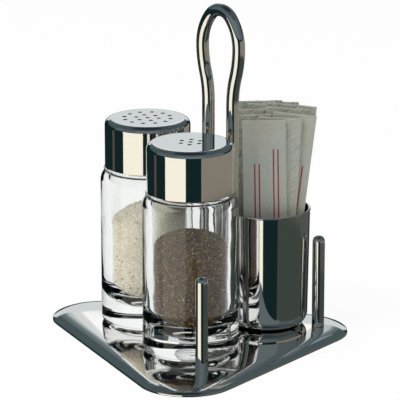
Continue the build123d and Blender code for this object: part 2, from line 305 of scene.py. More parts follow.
def light_contents(flag, colour, strength):
    """Let a dark flag shine on what stands inside the glass.

    A ray that has already left a matt surface is asking for light, not for a
    picture of the room, so it gets the second colour.
    """
    tree = flag.active_material.node_tree
    shader = tree.nodes["Principled BSDF"]
    dark = list(shader.inputs["Emission Color"].default_value)
    bright = [value * strength for value in linear(colour)[:3]] + [1.0]
    seen = add_node(
        tree, "ShaderNodeMix", {0: asks_for_light(tree), 6: dark, 7: bright}, data_type="RGBA"
    )
    feed(shader, {"Emission Color": seen.outputs[2]})


MIRROR_CARDS = (  # name, sides, heights, colour, strength
    ("cream_softbox", (-68, -12), (-45, 4), "#FFFAEA", 1.15),
    ("lamp_stand", (-108, -99), (-45, -6), "#5A5048", 1.0),
    ("grey_panel", (28, 150), (-14.2, 6), "#8F887D", 1.0),
    ("grey_panel_edge", (28, 150), (-15.2, -14.2), "#757067", 1.0),
    ("grey_panel_shade", (28, 150), (-16.4, -15.2), "#575A55", 1.0),
    ("grey_panel_foot", (28, 150), (-45, -16.4), "#434A45", 1.0),
    ("backdrop_low", (160, 200), (4, 18), "#DEE4E8", 1.0),
    ("backdrop_high", (175.6, 184.4), (18, 32), "#FFFFFF", 1.15),
    ("front_high", (-35, 35), (9, 44), "#6E7B82", 1.0),
    ("front_left", (-98, -35), (9, 44), "#5E6A70", 1.0),
    ("front_right", (35, 98), (9, 44), "#5E6A70", 1.0),
    ("backdrop_top", (160, 200), (32, 44), "#8E9AA4", 1.0),
    ("wall_left", (196, 262), (18, 44), "#4E5D61", 1.0),
    ("wall_right", (98, 164), (18, 44), "#4E5D61", 1.0),
    ("ceiling", (0, 360), (44, 68), "#4A565C", 1.0),
    ("ceiling_top", (0, 360), (68, 89), "#262E32", 1.0),
)
FALLOFF_HEIGHTS = (18, 32)
FALLOFF = (  # the grey steps beside backdrop_high: inner side, outer side, colour
    (184.4, 185.4, "#E4E8EA"), (185.4, 186.6, "#C2CACD"), (186.6, 188.2, "#A3AEB1"),
    (188.2, 190.6, "#869296"), (190.6, 196.0, "#6A787C"),
)
for mirror_card in MIRROR_CARDS:
    make_card(*mirror_card, through_glass=False)
for inner, outer, card_colour in FALLOFF:
    for sides in ((inner, outer), (360 - outer, 360 - inner)):
        card_name = f"falloff_{round(sides[0])}"
        make_card(card_name, sides, FALLOFF_HEIGHTS, card_colour, 1.0, through_glass=False)

GLASS_FLAGS = (  # name, sides, heights, colour seen, colour and strength of its light
    ("left_flag", (-142, -82), (-32, 16), "#1C262A", "#FFFFFF", 3.0),
    ("right_flag", (82, 142), (-32, 16), "#1C262A", "#20282A", 1.0),
    ("left_window", (-82, -12), (-12, 55), "#FFFFFF", "#FFFCF2", 3.6),
    ("right_shade", (18, 82), (-32, 55), "#FFFFFF", "#20282A", 1.0),
)
for card_name, sides, heights, card_colour, card_light, card_strength in GLASS_FLAGS:
    flag = make_card(card_name, sides, heights, card_colour, 1.0, through_glass=True)
    light_contents(flag, card_light, card_strength)
print("cards:", len(MIRROR_CARDS) + 2 * len(FALLOFF) + len(GLASS_FLAGS))

# %% [markdown]
# ## Soft lamps
#
# Two large soft lamps shape the paper and the grains. They are hidden from
# mirror rays, because the cards already say what the metal reflects.

# %% Lamps


def make_lamp(name, side, height, distance, size, power):
    """A round area lamp: degrees off the camera's side, metres and watts."""
    data = bpy.data.lights.new(name, "AREA")
    data.shape = "DISK"
    data.size = size
    data.energy = power
    lamp = bpy.data.objects.new(name, data)
    away = direction(CAMERA_AZIMUTH + side, height)
    lamp.location = CAMERA_TARGET + away * distance
    lamp.rotation_euler = away.to_track_quat("Z", "Y").to_euler()
    lamp.visible_glossy = False
    lamp.visible_transmission = False
    bpy.context.collection.objects.link(lamp)


make_lamp("key_lamp", -55, 50, 1.2, 0.7, 9.0)
make_lamp("fill_lamp", 60, 35, 1.4, 0.9, 3.0)
print("lamps:", [light.name for light in bpy.data.lights])

# %% [markdown]
# ## Polished stainless steel
#
# The tray, caps, cup and rods are stainless steel, drawn or bent and then
# polished on a felt wheel. To the eye that is a nearly perfect mirror with two
# small faults: a lazy waviness of a few tenths of a millimetre over centimetres,
# left by drawing the sheet, and faint hairlines where the wheel ran. Metal gets
# its colour from the metallic value, so the IOR stays as it is. Waviness and
# hairlines are bump, and finger marks only change the roughness a little. Real
# hairlines lie a few hundredths of a millimetre apart, too fine for the render,
# so they are drawn as coarse as they need to show.

# %% Steel
WAVE_LENGTH = 26.0 * MM
HAIRLINE_PITCH = 0.35 * MM
SMUDGE_SIZE = 9.0 * MM


def grain_space(tree, stretch=(1, 1, 1)):
    """Object coordinates in metres, stretched so that noise runs out into lines."""
    place = add_node(tree, "ShaderNodeTexCoord")
    return add_node(
        tree, "ShaderNodeMapping", {"Vector": place.outputs["Object"], "Scale": stretch}
    ).outputs[0]


def polished_steel(name, colour, roughness, stretch, hairline, wave):
    """Mirror polished sheet or rod. stretch says which way the wheel ran."""
    material, tree, shader = new_material(name, {"Metallic": 1.0, "Base Color": linear(colour)})
    plain_space = grain_space(tree)
    lines = add_node(
        tree,
        "ShaderNodeTexNoise",
        {"Vector": grain_space(tree, stretch), "Scale": 1 / HAIRLINE_PITCH, "Detail": 3.0},
    )
    smudges = add_node(
        tree, "ShaderNodeTexNoise", {"Vector": plain_space, "Scale": 1 / SMUDGE_SIZE, "Detail": 4.0}
    )
    rough = add_node(
        tree,
        "ShaderNodeMapRange",
        {"Value": smudges.outputs["Fac"], "From Min": 0.35, "From Max": 0.75,
         "To Min": roughness, "To Max": roughness * 2.2},
    )
    waves = add_node(
        tree, "ShaderNodeTexNoise", {"Vector": plain_space, "Scale": 1 / WAVE_LENGTH, "Detail": 1.0}
    )
    wavy = add_node(tree, "ShaderNodeBump", {"Height": waves.outputs["Fac"], "Distance": wave})
    lined = add_node(
        tree,
        "ShaderNodeBump",
        {"Height": lines.outputs["Fac"], "Distance": hairline, "Normal": wavy.outputs[0]},
    )
    feed(shader, {"Roughness": rough.outputs[0], "Normal": lined.outputs[0]})
    return material


STEEL_COLOUR = "#E6E5E2"
SHEET_STEEL = polished_steel(
    "polished_stainless_sheet", STEEL_COLOUR, 0.035, (1, 0.04, 0.04), 0.0006 * MM, 0.05 * MM
)
SPUN_STEEL = polished_steel(
    "spun_polished_stainless", STEEL_COLOUR, 0.03, (0.03, 0.03, 1), 0.0005 * MM, 0.03 * MM
)
ROD_STEEL = polished_steel(
    "drawn_stainless_rod", "#E4E3E0", 0.03, (1, 1, 0.03), 0.0004 * MM, 0.012 * MM
)
dress("cup", SPUN_STEEL)
for rod in ("handle_loop", "front_post", "right_post", "left_post"):
    dress(rod, ROD_STEEL)
print("steel on the cup and the rods")

# %% [markdown]
# ## The caps: polished outside, rough and painted dark inside
#
# A cap is drawn from one disc, its holes are punched, and only its outside meets
# the polishing wheel, so the underside of the top and the walls of the holes stay
# rough. They are also coloured near-black, which is painted shade, so that each
# hole reads as a clean black dot. The cap is one solid, so this is chosen by
# position: inside a radius of 14 mm and below the top face the skin is rough and
# painted dark.

# %% Caps
CAP_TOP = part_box("salt_cap")[1].z
DULL_SHADED_RADIUS = 14.0 * MM
DULL_SHADED_BELOW = CAP_TOP - 0.05 * MM


def cap_steel(name, cap_node):
    """Spun steel, rough and painted near-black as shade under the top and in its holes."""
    material = polished_steel(name, STEEL_COLOUR, 0.03, (0.03, 0.03, 1), 0.0005 * MM, 0.02 * MM)
    tree = material.node_tree
    shader = tree.nodes["Principled BSDF"]
    low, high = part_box(cap_node)
    centre = (low + high) / 2
    place = add_node(tree, "ShaderNodeTexCoord")
    level = add_node(tree, "ShaderNodeSeparateXYZ", {0: place.outputs["Object"]})
    flat = add_node(tree, "ShaderNodeCombineXYZ", {0: level.outputs["X"], 1: level.outputs["Y"]})
    reach = add_node(
        tree,
        "ShaderNodeVectorMath",
        {0: flat.outputs[0], 1: (centre.x, centre.y, 0)},
        operation="DISTANCE",
    )
    near = add_node(
        tree, "ShaderNodeMath", {0: reach.outputs["Value"], 1: DULL_SHADED_RADIUS}, operation="LESS_THAN"
    )
    under = add_node(
        tree, "ShaderNodeMath", {0: level.outputs["Z"], 1: DULL_SHADED_BELOW}, operation="LESS_THAN"
    )
    dull_and_shaded = add_node(
        tree, "ShaderNodeMath", {0: near.outputs[0], 1: under.outputs[0]}, operation="MULTIPLY"
    )
    # painted shade: near-black steel under the cap's top and in the walls of its holes
    colour = add_node(
        tree,
        "ShaderNodeMix",
        {0: dull_and_shaded.outputs[0], 6: linear(STEEL_COLOUR), 7: linear("#2C2C2B")},
        data_type="RGBA",
    )
    old_rough = shader.inputs["Roughness"].links[0].from_socket
    rough = add_node(
        tree, "ShaderNodeMath", {0: old_rough, 1: dull_and_shaded.outputs[0]}, operation="MAXIMUM"
    )
    feed(shader, {"Base Color": colour.outputs[2], "Roughness": rough.outputs[0]})
    dress(cap_node, material)


cap_steel("polished_salt_cap_steel", "salt_cap")
cap_steel("polished_pepper_cap_steel", "pepper_cap")
print("cap tops at", round(CAP_TOP / MM, 2), "mm")

# %% [markdown]
# ## Liner, seal and screws
#
# Three parts that are hardly seen. The liner that grips the glass thread is
# black polypropylene with the fine satin of an injection mould. The seal is
# black nitrile rubber, matt with a bloom of talc. The screws are turned, so
# their flat faces carry rings a quarter of a millimetre apart.

# %% Hidden finishes
MOULD_GRAIN = 0.6 * MM
TURNING_PITCH = 0.25 * MM
TALC_PATCH = 2.5 * MM


def satin_polypropylene():
    material, tree, shader = new_material("black_polypropylene", {"IOR": 1.49, "Roughness": 0.45})
    grain = add_node(
        tree,
        "ShaderNodeTexNoise",
        {"Vector": grain_space(tree), "Scale": 1 / MOULD_GRAIN, "Detail": 2.0},
    )
    colour = add_node(
        tree,
        "ShaderNodeMix",
        {0: grain.outputs["Fac"], 6: linear("#141516"), 7: linear("#1F2123")},
        data_type="RGBA",
    )
    bump = add_node(tree, "ShaderNodeBump", {"Height": grain.outputs["Fac"], "Distance": 0.01 * MM})
    feed(shader, {"Base Color": colour.outputs[2], "Normal": bump.outputs[0]})
    return material


def nitrile_rubber():
    material, tree, shader = new_material("nitrile_rubber", {"IOR": 1.52, "Roughness": 0.75})
    bloom = add_node(
        tree,
        "ShaderNodeTexNoise",
        {"Vector": grain_space(tree), "Scale": 1 / TALC_PATCH, "Detail": 5.0},
    )
    colour = add_node(
        tree,
        "ShaderNodeMix",
        {0: bloom.outputs["Fac"], 6: linear("#1B1C1D"), 7: linear("#3A3B3C")},
        data_type="RGBA",
    )
    feed(shader, {"Base Color": colour.outputs[2]})
    return material


def turned_steel():
    material, tree, shader = new_material(
        "turned_stainless_screw", {"Metallic": 1.0, "Base Color": linear("#C9C8C4")}
    )
    rings = add_node(
        tree,
        "ShaderNodeTexWave",
        {"Vector": grain_space(tree), "Scale": 0.31 / TURNING_PITCH, "Distortion": 0.4},
        wave_type="RINGS",
        rings_direction="Z",
    )
    rough = add_node(
        tree, "ShaderNodeMapRange", {"Value": rings.outputs["Fac"], "To Min": 0.22, "To Max": 0.38}
    )
    feed(shader, {"Roughness": rough.outputs[0]})
    return material


POLYPROPYLENE = satin_polypropylene()
RUBBER = nitrile_rubber()
SCREW_STEEL = turned_steel()
for shaker in ("salt", "pepper"):
    dress(shaker + "_cap_liner", POLYPROPYLENE)
    dress(shaker + "_cap_seal", RUBBER)
for screws in ("post_screws", "handle_screws"):
    dress(screws, SCREW_STEEL)
print("liners, seals and screws dressed")

# %% [markdown]
# ## Pressed glass
#
# The jars are soda lime glass, blown or pressed in an iron mould: clear, faintly
# green in the thick base, and never quite flat. The mould leaves a slow
# waviness, which bends the lines seen through the wall. Real glass is solid, so
# the jar's own inner and outer faces do the refraction, with an IOR of 1.52.

# %% Glass
MOULD_WAVE = 11.0 * MM
MOULD_WAVE_DEPTH = 0.25 * MM


def pressed_glass():
    material, tree, shader = new_material(
        "pressed_soda_lime_glass",
        {"Base Color": linear("#FAFCFB"), "Transmission Weight": 1.0, "Roughness": 0.0,
         "IOR": 1.52},
    )
    waves = add_node(
        tree,
        "ShaderNodeTexNoise",
        {"Vector": grain_space(tree, (1, 1, 0.6)), "Scale": 1 / MOULD_WAVE, "Detail": 1.5},
    )
    bump = add_node(
        tree, "ShaderNodeBump", {"Height": waves.outputs["Fac"], "Distance": MOULD_WAVE_DEPTH}
    )
    feed(shader, {"Normal": bump.outputs[0]})
    return material


GLASS = pressed_glass()
print("glass:", GLASS.name)

# %% [markdown]
# ## Skin over rings
#
# The jars, their contents and the tray all have sections that can be followed
# ring by ring, as on a lathe or a press tool. One helper joins a list of rings
# into a closed skin. A ring may be a single point, which closes an end, and an
# open end is filled with one flat face.

# %% Ring helper
TRAY_TOP = 3.0
LATHE_STEPS = 144
LATHE_TURNS = [math.tau * step / LATHE_STEPS for step in range(LATHE_STEPS)]


def finish_mesh(build, name):
    """Turn what was built into a mesh."""
    mesh = bpy.data.meshes.new(name)
    build.to_mesh(mesh)
    build.free()
    return mesh


def skin_rings(name, rings):
    """A mesh in metres from rings of points in mm, each ring with equal steps."""
    build = bmesh.new()
    made = [[build.verts.new(Vector(point) * MM) for point in ring] for ring in rings]
    for lower, upper in zip(made, made[1:]):
        steps = max(len(lower), len(upper))
        for here in range(steps):
            there = (here + 1) % steps
            corners = []
            for ring, order in ((lower, (here, there)), (upper, (there, here))):
                corners += [ring[0]] if len(ring) == 1 else [ring[spot] for spot in order]
            build.faces.new(corners)
    for ring in (made[0], made[-1]):
        if len(ring) > 1:
            build.faces.new(ring)
    bmesh.ops.recalc_face_normals(build, faces=build.faces)
    for face in build.faces:
        face.smooth = True
    return finish_mesh(build, name)


def place_piece(name, mesh, materials, body, node):
    """Put a mesh in the scene as the visible form of one node of the frame."""
    piece = add_object(name, mesh, *materials)
    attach(piece, body)
    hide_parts(node)
    return piece


def around(place, radius, turn, height):
    """A point in mm, turned round an upright axis and measured up from the tray."""
    x, y = place
    return (x + radius * math.cos(turn), y + radius * math.sin(turn), TRAY_TOP + height)


def arc_points(centre, radius, start, end, steps):
    """Points of an arc in the plane of a section, angles in degrees."""
    turns = [math.radians(start + (end - start) * step / steps) for step in range(steps + 1)]
    return [(centre[0] + radius * math.cos(t), centre[1] + radius * math.sin(t)) for t in turns]


def rounded(before, corner, after, radius, steps):
    """The corner of a section, replaced by a tangent arc."""
    before, corner, after = Vector(before), Vector(corner), Vector(after)
    back, ahead = (before - corner).normalized(), (after - corner).normalized()
    half = back.angle(ahead) / 2
    centre = corner + (back + ahead).normalized() * radius / math.sin(half)
    first = corner + back * radius / math.tan(half) - centre
    last = corner + ahead * radius / math.tan(half) - centre
    turn = first.angle(last)
    shares = [step / steps for step in range(steps + 1)]
    return [
        centre + (first * math.sin(turn * (1 - t)) + last * math.sin(turn * t)) / math.sin(turn)
        for t in shares
    ]


# %% [markdown]
# ## The tray's arched skirt
#
# The tray is pressed from one sheet of 1 mm steel. Its floor is flat in the
# middle and sinks by a third of a millimetre towards the skirt, which falls away
# in one arch to a lip that stands on the table. That arch is what draws the
# dark, even band along the edge: a straight bevel would flash like a facet. The
# outline is three round corners joined by straight sides, so a ring at any
# distance is the same three arcs with another radius.

# %% Tray
TRAY_CORNERS = (Vector((-38.9, -4.4)), Vector((38.9, -37.0)), Vector((32.7, 37.0)))
CORNER_RADIUS = 19.6
SKIRT_WIDTH = 6.6
LIP_HEIGHT = 0.8
CROWN_START = 1.0
CROWN_DROP = 0.32
LIP_ROUND = 0.4
SHEET = 1.0
CORNER_STEPS = 28
SIDE_STEPS = 10
CROWN_STEPS = 12
ARCH_STEPS = 24
UNDER_STEPS = 16
LIP_STEPS = 6
EDGE_LOOP = 0.6
FOOT_EDGE = 0.02
NEAREST = 0.05


def tray_ring(radius, height):
    """The tray's outline, with its corners drawn at the given radius."""
    sides = [
        (TRAY_CORNERS[(index + 1) % 3] - TRAY_CORNERS[index]).normalized() for index in range(3)
    ]
    ring = []
    for index, corner in enumerate(TRAY_CORNERS):
        arriving, leaving = sides[index - 1], sides[index]
        start = math.atan2(-arriving.x, arriving.y)
        sweep = (math.atan2(-leaving.x, leaving.y) - start) % math.tau
        for step in range(CORNER_STEPS + 1):
            turn = start + sweep * step / CORNER_STEPS
            ring.append(corner + radius * Vector((math.cos(turn), math.sin(turn))))
        last, gap = ring[-1], TRAY_CORNERS[(index + 1) % 3] - corner
        ring += [last + gap * step / SIDE_STEPS for step in range(1, SIDE_STEPS)]
    return [(point.x, point.y, height) for point in ring]


def tray_section():
    """The sheet's section from the middle of the floor, over the skirt and back under."""
    flat = CORNER_RADIUS - SKIRT_WIDTH
    shares = [step / CROWN_STEPS for step in range(CROWN_STEPS + 1)]
    crown = [
        (CROWN_START + (flat - CROWN_START) * share, TRAY_TOP - CROWN_DROP * share ** 2)
        for share in shares
    ]
    start = math.degrees(math.atan(2 * CROWN_DROP / (flat - CROWN_START)))
    drop = crown[-1][1] - LIP_HEIGHT
    turn = 2 * (math.degrees(math.atan(drop / SKIRT_WIDTH)) - start)
    arch = math.hypot(drop, SKIRT_WIDTH) / (2 * math.sin(math.radians(turn / 2)))
    lean = math.radians(start)
    centre = (flat - arch * math.sin(lean), crown[-1][1] - arch * math.cos(lean))
    over = arc_points(centre, arch, 90 - start, 90 - start - turn, ARCH_STEPS)
    lip = rounded(over[-2], (CORNER_RADIUS, LIP_HEIGHT), (CORNER_RADIUS, 0), LIP_ROUND, LIP_STEPS)
    over = [point for point in over if point[0] < lip[0].x - NEAREST] + [tuple(p) for p in lip]
    reach = (CORNER_RADIUS - SHEET - centre[0]) / (arch - SHEET)
    under_start = 90 - math.degrees(math.asin(reach))
    under = arc_points(centre, arch - SHEET, under_start, 90 - start, UNDER_STEPS)
    foot = [
        (CORNER_RADIUS, FOOT_EDGE), (CORNER_RADIUS - FOOT_EDGE, 0.0), (CORNER_RADIUS - SHEET, 0.0)
    ]
    middle = CROWN_START - EDGE_LOOP
    floor_edge = [(middle, TRAY_TOP)] + crown[:-1]
    under_edge = [(CROWN_START, TRAY_TOP - SHEET), (middle, TRAY_TOP - SHEET)]
    return floor_edge + over + foot + under + under_edge


tray_mesh = skin_rings(
    "pressed_tray", [tray_ring(radius, height) for radius, height in tray_section()]
)
place_piece("pressed_tray", tray_mesh, [SHEET_STEEL], "stand", "tray")
print("tray faces:", len(tray_mesh.polygons))

# %% [markdown]
# ## Blown and pressed jars
#
# Outside, a jar is a plain cylinder with a soft foot, a shoulder and a bead under
# the cap. What makes it look like glass is the inside: a wall of under 4 mm, a
# floor thicker than the wall, and a large round where the two meet, because hot
# glass never fills a sharp corner. The section is drawn once, turned on a lathe,
# and used for both jars and, a hair smaller, for what they hold.

# %% Jar section
JAR_PLACES = {"salt": (-18.3, 2.4), "pepper": (20.3, -14.6)}
JAR_RADIUS = 19.0
CAVITY_FLOOR = 7.2
CAVITY_LOW, CAVITY_HIGH = 14.6, 15.3
CAVITY_HIGH_LEVEL, CAVITY_NECK_LEVEL = 59.5, 63.8
BORE_RADIUS = 12.3
NECK_TOP = 76.5
FLOOR_ROUND = 12.0
PUNT_HEIGHT = 1.0
FOOT_ROUND = 2.5
MID_WALL, WALL_TOP = 30.0, 59.0
GROOVE_RADIUS, GROOVE_LEVEL = 17.0, 62.9
BEAD_LEVEL, BEAD_ROUND, BEAD_DEPTH = 63.7, 0.807, 0.107
SHELF_LEVEL = 64.5
NECK_RADIUS = 14.4
RIM_ROUND = 0.4


def cavity_section(gap):
    """The inside of the jar from its floor's middle up to the neck, drawn in by a gap."""
    low, high = (CAVITY_LOW - gap, CAVITY_FLOOR + gap), (CAVITY_HIGH - gap, CAVITY_HIGH_LEVEL)
    neck, top = (BORE_RADIUS - gap, CAVITY_NECK_LEVEL), (BORE_RADIUS - gap, NECK_TOP)
    section = [(0.0, low[1])]
    section += rounded((0, low[1]), low, high, FLOOR_ROUND - gap, 20)
    section += rounded(low, high, neck, 3.0, 8) + rounded(high, neck, top, 2.0, 8) + [top]
    return [tuple(point) for point in section]


def outer_section():
    """The outside of the jar from the punt under its foot up to the rim."""
    pull, height = JAR_RADIUS - GROOVE_RADIUS, GROOVE_LEVEL - WALL_TOP
    shoulder = (pull ** 2 + height ** 2) / (2 * pull)
    shoulder_turn = math.degrees(math.asin(height / shoulder))
    foot = (JAR_RADIUS - FOOT_ROUND, FOOT_ROUND)
    rim = (NECK_RADIUS - RIM_ROUND, NECK_TOP - RIM_ROUND)
    section = [(0.0, PUNT_HEIGHT), (6.75, 0.75 * PUNT_HEIGHT), (13.3, 0.02), (13.5, 0.0)]
    section += arc_points(foot, FOOT_ROUND, -90, 0, 10) + [(JAR_RADIUS, MID_WALL)]
    section += arc_points((JAR_RADIUS - shoulder, WALL_TOP), shoulder, 0, shoulder_turn, 12)
    section += arc_points((GROOVE_RADIUS - BEAD_DEPTH, BEAD_LEVEL), BEAD_ROUND, -82, 82, 10)
    section += [(NECK_RADIUS + 0.1, SHELF_LEVEL), (NECK_RADIUS, SHELF_LEVEL + 0.1)]
    section += [(NECK_RADIUS, rim[1])] + arc_points(rim, RIM_ROUND, 20, 90, 4)
    return section


ON_AXIS = 1e-6


def turned(place, section):
    """Rings round an upright axis; a point on the axis stays a point."""
    return [
        [around(place, radius, turn, height) for turn in (LATHE_TURNS if radius > ON_AXIS else [0])]
        for radius, height in section
    ]


for shaker, place in JAR_PLACES.items():
    section = outer_section() + cavity_section(0.0)[::-1]
    jar_mesh = skin_rings(shaker + "_glass", turned(place, section))
    place_piece(
        shaker + "_glass", jar_mesh, [GLASS], shaker + "_shaker", shaker + "_jar"
    )
print("jar section points:", len(section))

# %% [markdown]
# ## The screw thread
#
# Under each cap the neck carries two and a half turns of a low round bead. It
# only shows when the cap is off, so it is a small tube along a helix, sunk by
# half in the neck.

# %% Thread
THREAD_PITCH = 3.5
THREAD_TURNS = 2.5
THREAD_START = 66.1
THREAD_BEAD = 0.6
THREAD_RUN_OUT = 0.04
THREAD_STEPS = 150
BEAD_SIDES = 10


def thread_rings(place):
    """Small rings along the helix, growing and shrinking at its two ends."""
    rings = []
    for step in range(1, THREAD_STEPS):
        share = step / THREAD_STEPS
        size = THREAD_BEAD * smooth_step(0, THREAD_RUN_OUT, min(share, 1 - share))
        level = THREAD_START + THREAD_PITCH * THREAD_TURNS * share
        ring = []
        for side in range(BEAD_SIDES):
            spin = math.tau * side / BEAD_SIDES
            radius, height = NECK_RADIUS + size * math.cos(spin), level + size * math.sin(spin)
            ring.append(around(place, radius, math.tau * THREAD_TURNS * share, height))
        rings.append(ring)
    return rings


for shaker, place in JAR_PLACES.items():
    thread_mesh = skin_rings(shaker + "_thread", thread_rings(place))
    thread = add_object(shaker + "_thread", thread_mesh, GLASS)
    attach(thread, shaker + "_shaker")
print("threads:", THREAD_TURNS, "turns each")

# %% [markdown]
# ## Loose grains
#
# Salt and ground pepper are thousands of separate grains, so a smooth solid
# behind glass looks wrong at once. The solid in the frame says how high the
# heap stands and how it leans, and the heap is built again here from the jar's
# inside to that height and lean. Its skin is covered with small grains, each laid
# just inside it so that none cuts into the glass, and the built form, drawn in a
# little and coloured a little darker as painted shade, fills the gaps between
# them. Salt grains are cubes, pepper is broken flakes. One random number for each loose island of
# the mesh gives
# every grain its own tone. Real grains are under half a millimetre, about one
# pixel of the picture, so both are drawn about twice as coarse to show at all.

# %% Contents: the space they fill
FILL_GAP = 0.15
SALT_LEVEL, SALT_TILT = 46.8, 13.5
PEPPER_LEVEL, PEPPER_DOME = 48.8, 27.0
HEAP_FOOT = 18.0
PICTURE_TURN = math.radians(CAMERA_AZIMUTH)
FILL_DIRECTION = Vector((math.cos(PICTURE_TURN), math.sin(PICTURE_TURN)))


def salt_top(x, y):
    """A shaken heap leans: the salt stands higher on one side."""
    return SALT_LEVEL + Vector((x, y)).dot(FILL_DIRECTION) * math.tan(math.radians(SALT_TILT))


def pepper_top(x, y):
    """Pepper clings to itself and stays in a low dome."""
    return PEPPER_LEVEL - PEPPER_DOME + math.sqrt(PEPPER_DOME ** 2 - x * x - y * y)


def fill_mesh(name, place, top):
    """What a jar holds: the cavity's own shape, closed by the heap's top."""
    floor_part = [point for point in cavity_section(FILL_GAP) if point[1] < HEAP_FOOT]
    rings = turned(place, floor_part)
    last_radius, last_height = floor_part[-1]
    rise = (CAVITY_HIGH - CAVITY_LOW) / (CAVITY_HIGH_LEVEL - CAVITY_FLOOR)
    for share in (0.25, 0.5, 0.75, 1.0):
        ring = []
        for turn in LATHE_TURNS:
            end = top(CAVITY_HIGH * math.cos(turn), CAVITY_HIGH * math.sin(turn))
            height = last_height + (end - last_height) * share
            ring.append(around(place, last_radius + (height - last_height) * rise, turn, height))
        rings.append(ring)
    rim = rings[-1]
    for share in (0.93, 0.8, 0.6, 0.4, 0.2):
        inward = [((x - place[0]) * share, (y - place[1]) * share) for x, y, height in rim]
        rings.append([(place[0] + x, place[1] + y, TRAY_TOP + top(x, y)) for x, y in inward])
    rings.append([(place[0], place[1], TRAY_TOP + top(0, 0))])
    return skin_rings(name, rings)


FILL_FORMS = {
    "salt": fill_mesh("salt_form", JAR_PLACES["salt"], salt_top),
    "pepper": fill_mesh("pepper_form", JAR_PLACES["pepper"], pepper_top),
}
print("fill forms:", {name: len(form.polygons) for name, form in FILL_FORMS.items()})

# %% Grain helpers
SALT_GRAIN = 0.85 * MM
PEPPER_GRAIN = 0.95 * MM
CUBE = [(x, y, z) for x in (-1, 1) for y in (-1, 1) for z in (-1, 1)]
CUBE_FACES = [(0, 1, 3, 2), (4, 6, 7, 5), (0, 4, 5, 1), (2, 3, 7, 6), (0, 2, 6, 4), (1, 5, 7, 3)]
FLAKE = [(1, 0, 0), (-1, 0, 0), (0, 1, 0), (0, -1, 0), (0, 0, 1), (0, 0, -1)]
SKIN_DEPTH = 0.55  # in grain sizes, how far the built form is drawn in under the outer grains
LAYING = 0.74  # in grain sizes, the least way from one grain to the next
TRIES = 2.2  # points tried for each grain that fits
FLAKE_FACES = [
    (0, 2, 4), (2, 1, 4), (1, 3, 4), (3, 0, 4), (2, 0, 5), (1, 2, 5), (3, 1, 5), (0, 3, 5)
]


def scatter(mesh, spacing, rng):
    """Points and normals spread over a mesh, none nearer than the spacing."""
    mesh.calc_loop_triangles()
    corners = [vertex.co.copy() for vertex in mesh.vertices]
    triangles = [tuple(corners[index] for index in tri.vertices) for tri in mesh.loop_triangles]
    normals = [(b - a).cross(c - a) for a, b, c in triangles]
    areas = [normal.length / 2 for normal in normals]
    wanted = int(TRIES * sum(areas) / spacing ** 2)
    taken = {}
    picked = []
    for index in rng.choices(range(len(triangles)), weights=areas, k=wanted):
        a, b, c = triangles[index]
        u, v = rng.random(), rng.random()
        if u + v > 1:
            u, v = 1 - u, 1 - v
        point = a + (b - a) * u + (c - a) * v
        cell = tuple(int(math.floor(value / spacing)) for value in point)
        close = any(
            (point - other).length < spacing
            for x in (-1, 0, 1) for y in (-1, 0, 1) for z in (-1, 0, 1)
            for other in taken.get((cell[0] + x, cell[1] + y, cell[2] + z), ())
        )
        if not close:
            taken.setdefault(cell, []).append(point)
            picked.append((point, normals[index].normalized()))
    return picked


def make_grains(name, source, fill_node, body, size, shape, faces, squash, seed, materials):
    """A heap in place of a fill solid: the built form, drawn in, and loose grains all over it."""
    rng = random.Random(seed)
    build = bmesh.new()
    build.from_mesh(source)
    bmesh.ops.remove_doubles(build, verts=build.verts, dist=0.001 * MM)
    build.normal_update()
    for vertex in build.verts:
        vertex.co -= vertex.normal * size * SKIN_DEPTH
    laid = scatter(source, size * LAYING, rng)
    for point, normal in laid:
        half = [size * 0.5 * rng.uniform(*squash[axis]) for axis in range(3)]
        turn = Euler([rng.uniform(0, math.tau) for axis in range(3)]).to_matrix()
        radius = max(half) if shape is FLAKE else Vector(half).length
        centre = point - normal * radius * rng.uniform(1.0, 1.35)
        added = [
            build.verts.new(
                centre + turn @ Vector([corner[axis] * half[axis] for axis in range(3)])
            )
            for corner in shape
        ]
        for face in faces:
            build.faces.new([added[index] for index in face]).material_index = 1
    place_piece(name, finish_mesh(build, name), materials, body, fill_node)
    print(name, "has", len(laid), "grains")


# %% Salt and pepper finishes
GRAIN_PIT = 0.4 * MM
PIT_DEPTH = 0.05 * MM


def grain_material(name, stops, roughness):
    """Each loose grain picks its tone from a ramp by a random number of its own."""
    material, tree, shader = new_material(name, {"Roughness": roughness})
    island = add_node(tree, "ShaderNodeNewGeometry")
    ramp = add_node(tree, "ShaderNodeValToRGB", {"Fac": island.outputs["Random Per Island"]})
    ramp.color_ramp.interpolation = "CONSTANT"
    while len(ramp.color_ramp.elements) < len(stops):
        ramp.color_ramp.elements.new(0.5)
    for element, (place, colour) in zip(ramp.color_ramp.elements, stops):
        element.position = place
        element.color = linear(colour)
    pits = add_node(
        tree,
        "ShaderNodeTexNoise",
        {"Vector": grain_space(tree), "Scale": 1 / GRAIN_PIT, "Detail": 2.0},
    )
    bump = add_node(tree, "ShaderNodeBump", {"Height": pits.outputs["Fac"], "Distance": PIT_DEPTH})
    feed(shader, {"Base Color": ramp.outputs["Color"], "Normal": bump.outputs[0]})
    return material


def shaded_packed_material(name, dark, light, size):
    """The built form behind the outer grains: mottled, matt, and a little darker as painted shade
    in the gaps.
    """
    material, tree, shader = new_material(name, {"Roughness": 0.8})
    cells = add_node(tree, "ShaderNodeTexVoronoi", {"Vector": grain_space(tree), "Scale": 1 / size})
    colour = add_node(
        tree,
        "ShaderNodeMix",
        {0: cells.outputs["Color"], 6: linear(dark), 7: linear(light)},
        data_type="RGBA",
    )
    bump = add_node(
        tree, "ShaderNodeBump", {"Height": cells.outputs["Distance"], "Distance": size / 2}
    )
    feed(shader, {"Base Color": colour.outputs[2], "Normal": bump.outputs[0]})
    return material


